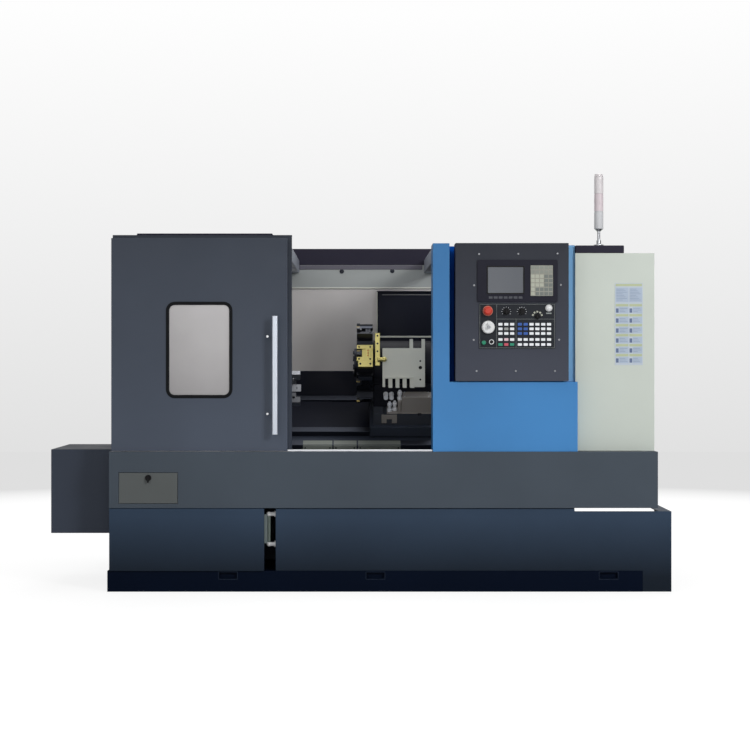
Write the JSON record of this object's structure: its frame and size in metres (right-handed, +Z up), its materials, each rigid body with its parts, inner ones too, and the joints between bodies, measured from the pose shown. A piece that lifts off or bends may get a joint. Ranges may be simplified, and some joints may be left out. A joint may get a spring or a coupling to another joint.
{
  "type": "cnc turning lathe",
  "caption": "Slant-bed turning lathe with sliding guard door, chuck, tool turret, tailstock, swinging control pod, electrical cabinet, skirt tray and coolant tank.",
  "frame": {"origin": "centre of the base frame's underside, on the floor", "axes": "+Z up, +X to the right along the spindle line as seen by the operator, front towards -Y"},
  "size_m": [3.016, 1.558, 2.019],
  "materials": {
    "plinth_paint": "satin",
    "base_paint": "satin",
    "skirt_paint": "satin",
    "flap_paint": "satin",
    "guard_paint": "satin",
    "door_paint": "satin",
    "rail_paint": "satin",
    "blue_paint": "satin",
    "cream_paint": "satin",
    "pod_paint": "fine texture",
    "casting_paint": "painted casting",
    "turret_paint": "painted casting",
    "cover_steel": "satin",
    "wall_sheet": "satin",
    "pale_plate": "satin",
    "ground_steel": "ground",
    "chuck_steel": "turned",
    "jaw_steel": "milled",
    "tool_steel": "ground",
    "track_steel": "brushed",
    "blackened_steel": "blackened",
    "tool_brass": "milled",
    "motor_black": "satin",
    "belt_rubber": "matte",
    "gasket_rubber": "matte",
    "handle_aluminium": "anodised",
    "window_glass": "gloss",
    "screen_glass": "gloss",
    "monitor_plastic": "satin",
    "pad_plastic": "satin",
    "panel_plastic": "satin",
    "black_plastic": "satin",
    "white_plastic": "satin",
    "key_white": "satin",
    "key_colour": "satin",
    "stop_red": "gloss",
    "start_green": "gloss",
    "wheel_white": "satin",
    "lamp_plastic": "frosted"
  },
  "bodies": {
    "machine": {"base_frame": "plinth_paint", "base_panels": "base_paint", "coolant_tank": "base_paint", "level_gauge": "white_plastic", "skirt_tray": "skirt_paint", "motor_cover": "skirt_paint", "headstock_housing": "guard_paint", "headstock": "casting_paint", "drive_belt": "belt_rubber", "spindle_motor": "motor_black", "bed_casting": "casting_paint", "guide_rails": "ground_steel", "way_cover": "cover_steel", "back_wall": "wall_sheet", "roof_frame": "rail_paint", "rear_housing": "guard_paint", "door_track": "track_steel", "control_housing": "blue_paint", "electrical_cabinet": "cream_paint", "tower_stand": "ground_steel", "tower_lamp": "lamp_plastic"},
    "door": {"sliding_door": "door_paint", "window_glass": "window_glass", "window_gasket": "gasket_rubber", "door_handle": "handle_aluminium", "door_shoes": "white_plastic"},
    "spindle": {"spindle": "ground_steel", "chuck_body": "chuck_steel", "spindle_pulley": "casting_paint"},
    "jaw_1": {"jaw_1": "jaw_steel"},
    "jaw_2": {"jaw_2": "jaw_steel"},
    "jaw_3": {"jaw_3": "jaw_steel"},
    "motor_shaft": {"motor_pulley": "casting_paint"},
    "carriage": {"saddle": "casting_paint", "carriage_cover": "cover_steel"},
    "cross_slide": {"cross_slide": "casting_paint", "turret_housing": "turret_paint", "turret_plate": "pale_plate"},
    "turret": {"turret_disc": "blackened_steel", "tool_blocks": "tool_brass", "cutting_tools": "tool_steel"},
    "tailstock": {"tailstock_body": "turret_paint"},
    "quill": {"quill": "ground_steel"},
    "live_centre": {"live_centre": "ground_steel"},
    "pod": {"pod_case": "pod_paint", "pod_face": "pod_paint", "monitor": "monitor_plastic", "screen": "screen_glass", "key_pad": "pad_plastic", "operator_panel": "panel_plastic", "white_keys": "key_white", "colour_keys": "key_colour"},
    "estop": {"estop_button": "stop_red"},
    "start": {"start_button": "start_green"},
    "handwheel": {"handwheel": "wheel_white"},
    "feed_knob": {"feed_knob": "black_plastic"},
    "spindle_knob": {"spindle_knob": "black_plastic"},
    "flap": {"access_flap": "flap_paint"},
    "latch": {"flap_latch": "black_plastic"},
    "cabinet_door": {"cabinet_door": "cream_paint"}
  },
  "joints": [
    {"name": "door_slide", "type": "slide", "parent": "machine", "child": "door", "axis": [1, 0, 0], "range_m": [0, 0.69]},
    {"name": "spindle_spin", "type": "hinge", "parent": "machine", "child": "spindle", "pos_m": [-0.6, -0.21, 0.97], "axis": [1, 0, 0], "continuous": true},
    {"name": "motor_spin", "type": "hinge", "parent": "machine", "child": "motor_shaft", "pos_m": [-1.16, -0.3, 0.508], "axis": [1, 0, 0], "continuous": true},
    {"name": "jaw_1_slide", "type": "slide", "parent": "spindle", "child": "jaw_1", "axis": [0, -0.5, 0.866], "range_m": [-0.004, 0.004]},
    {"name": "jaw_2_slide", "type": "slide", "parent": "spindle", "child": "jaw_2", "axis": [0, -0.5, -0.866], "range_m": [-0.004, 0.004]},
    {"name": "jaw_3_slide", "type": "slide", "parent": "spindle", "child": "jaw_3", "axis": [0, 1, 0], "range_m": [-0.004, 0.004]},
    {"name": "carriage_slide", "type": "slide", "parent": "machine", "child": "carriage", "axis": [1, 0, 0], "range_m": [-0.25, 0.2]},
    {"name": "cross_feed", "type": "slide", "parent": "carriage", "child": "cross_slide", "axis": [0, 0.866, 0.5], "range_m": [-0.045, 0.06]},
    {"name": "turret_index", "type": "hinge", "parent": "cross_slide", "child": "turret", "pos_m": [-0.115, 0.01517, 1.1], "axis": [1, 0, 0], "continuous": true},
    {"name": "tailstock_slide", "type": "slide", "parent": "machine", "child": "tailstock", "axis": [1, 0, 0], "range_m": [-0.3, 0.2]},
    {"name": "quill_slide", "type": "slide", "parent": "tailstock", "child": "quill", "axis": [-1, 0, 0], "range_m": [0, 0.08]},
    {"name": "centre_spin", "type": "hinge", "parent": "quill", "child": "live_centre", "pos_m": [0.25, -0.21, 0.97], "axis": [1, 0, 0], "continuous": true},
    {"name": "pod_swing", "type": "hinge", "parent": "machine", "child": "pod", "pos_m": [0.359, -0.715, 1], "axis": [0, 0, -1], "range_deg": [0, 60]},
    {"name": "estop_press", "type": "slide", "parent": "pod", "child": "estop", "axis": [0, 1, 0], "range_m": [0, 0.005], "stiffness_N_per_m": 2000},
    {"name": "start_press", "type": "slide", "parent": "pod", "child": "start", "axis": [0, 1, 0], "range_m": [0, 0.004], "stiffness_N_per_m": 800},
    {"name": "handwheel_turn", "type": "hinge", "parent": "pod", "child": "handwheel", "pos_m": [0.473, -0.769, 1.271], "axis": [0, -1, 0], "continuous": true},
    {"name": "feed_turn", "type": "hinge", "parent": "pod", "child": "feed_knob", "pos_m": [0.56, -0.769, 1.346], "axis": [0, -1, 0], "range_deg": [-120, 120]},
    {"name": "speed_turn", "type": "hinge", "parent": "pod", "child": "spindle_knob", "pos_m": [0.635, -0.769, 1.346], "axis": [0, -1, 0], "range_deg": [-120, 120]},
    {"name": "flap_open", "type": "hinge", "parent": "machine", "child": "flap", "pos_m": [-1.158, -0.756, 0.432], "axis": [1, 0, 0], "range_deg": [0, 90]},
    {"name": "latch_turn", "type": "hinge", "parent": "flap", "child": "latch", "pos_m": [-1.158, -0.76, 0.548], "axis": [0, -1, 0], "range_deg": [0, 90]},
    {"name": "cabinet_door_open", "type": "hinge", "parent": "machine", "child": "cabinet_door", "pos_m": [1.279, 0.736, 1.153], "axis": [0, 0, -1], "range_deg": [0, 95]}
  ],
  "couplings": [
    {"joint": "motor_spin", "follows": "spindle_spin", "ratio": 1.4667},
    {"joint": "jaw_2_slide", "follows": "jaw_1_slide", "ratio": 1},
    {"joint": "jaw_3_slide", "follows": "jaw_1_slide", "ratio": 1}
  ]
}
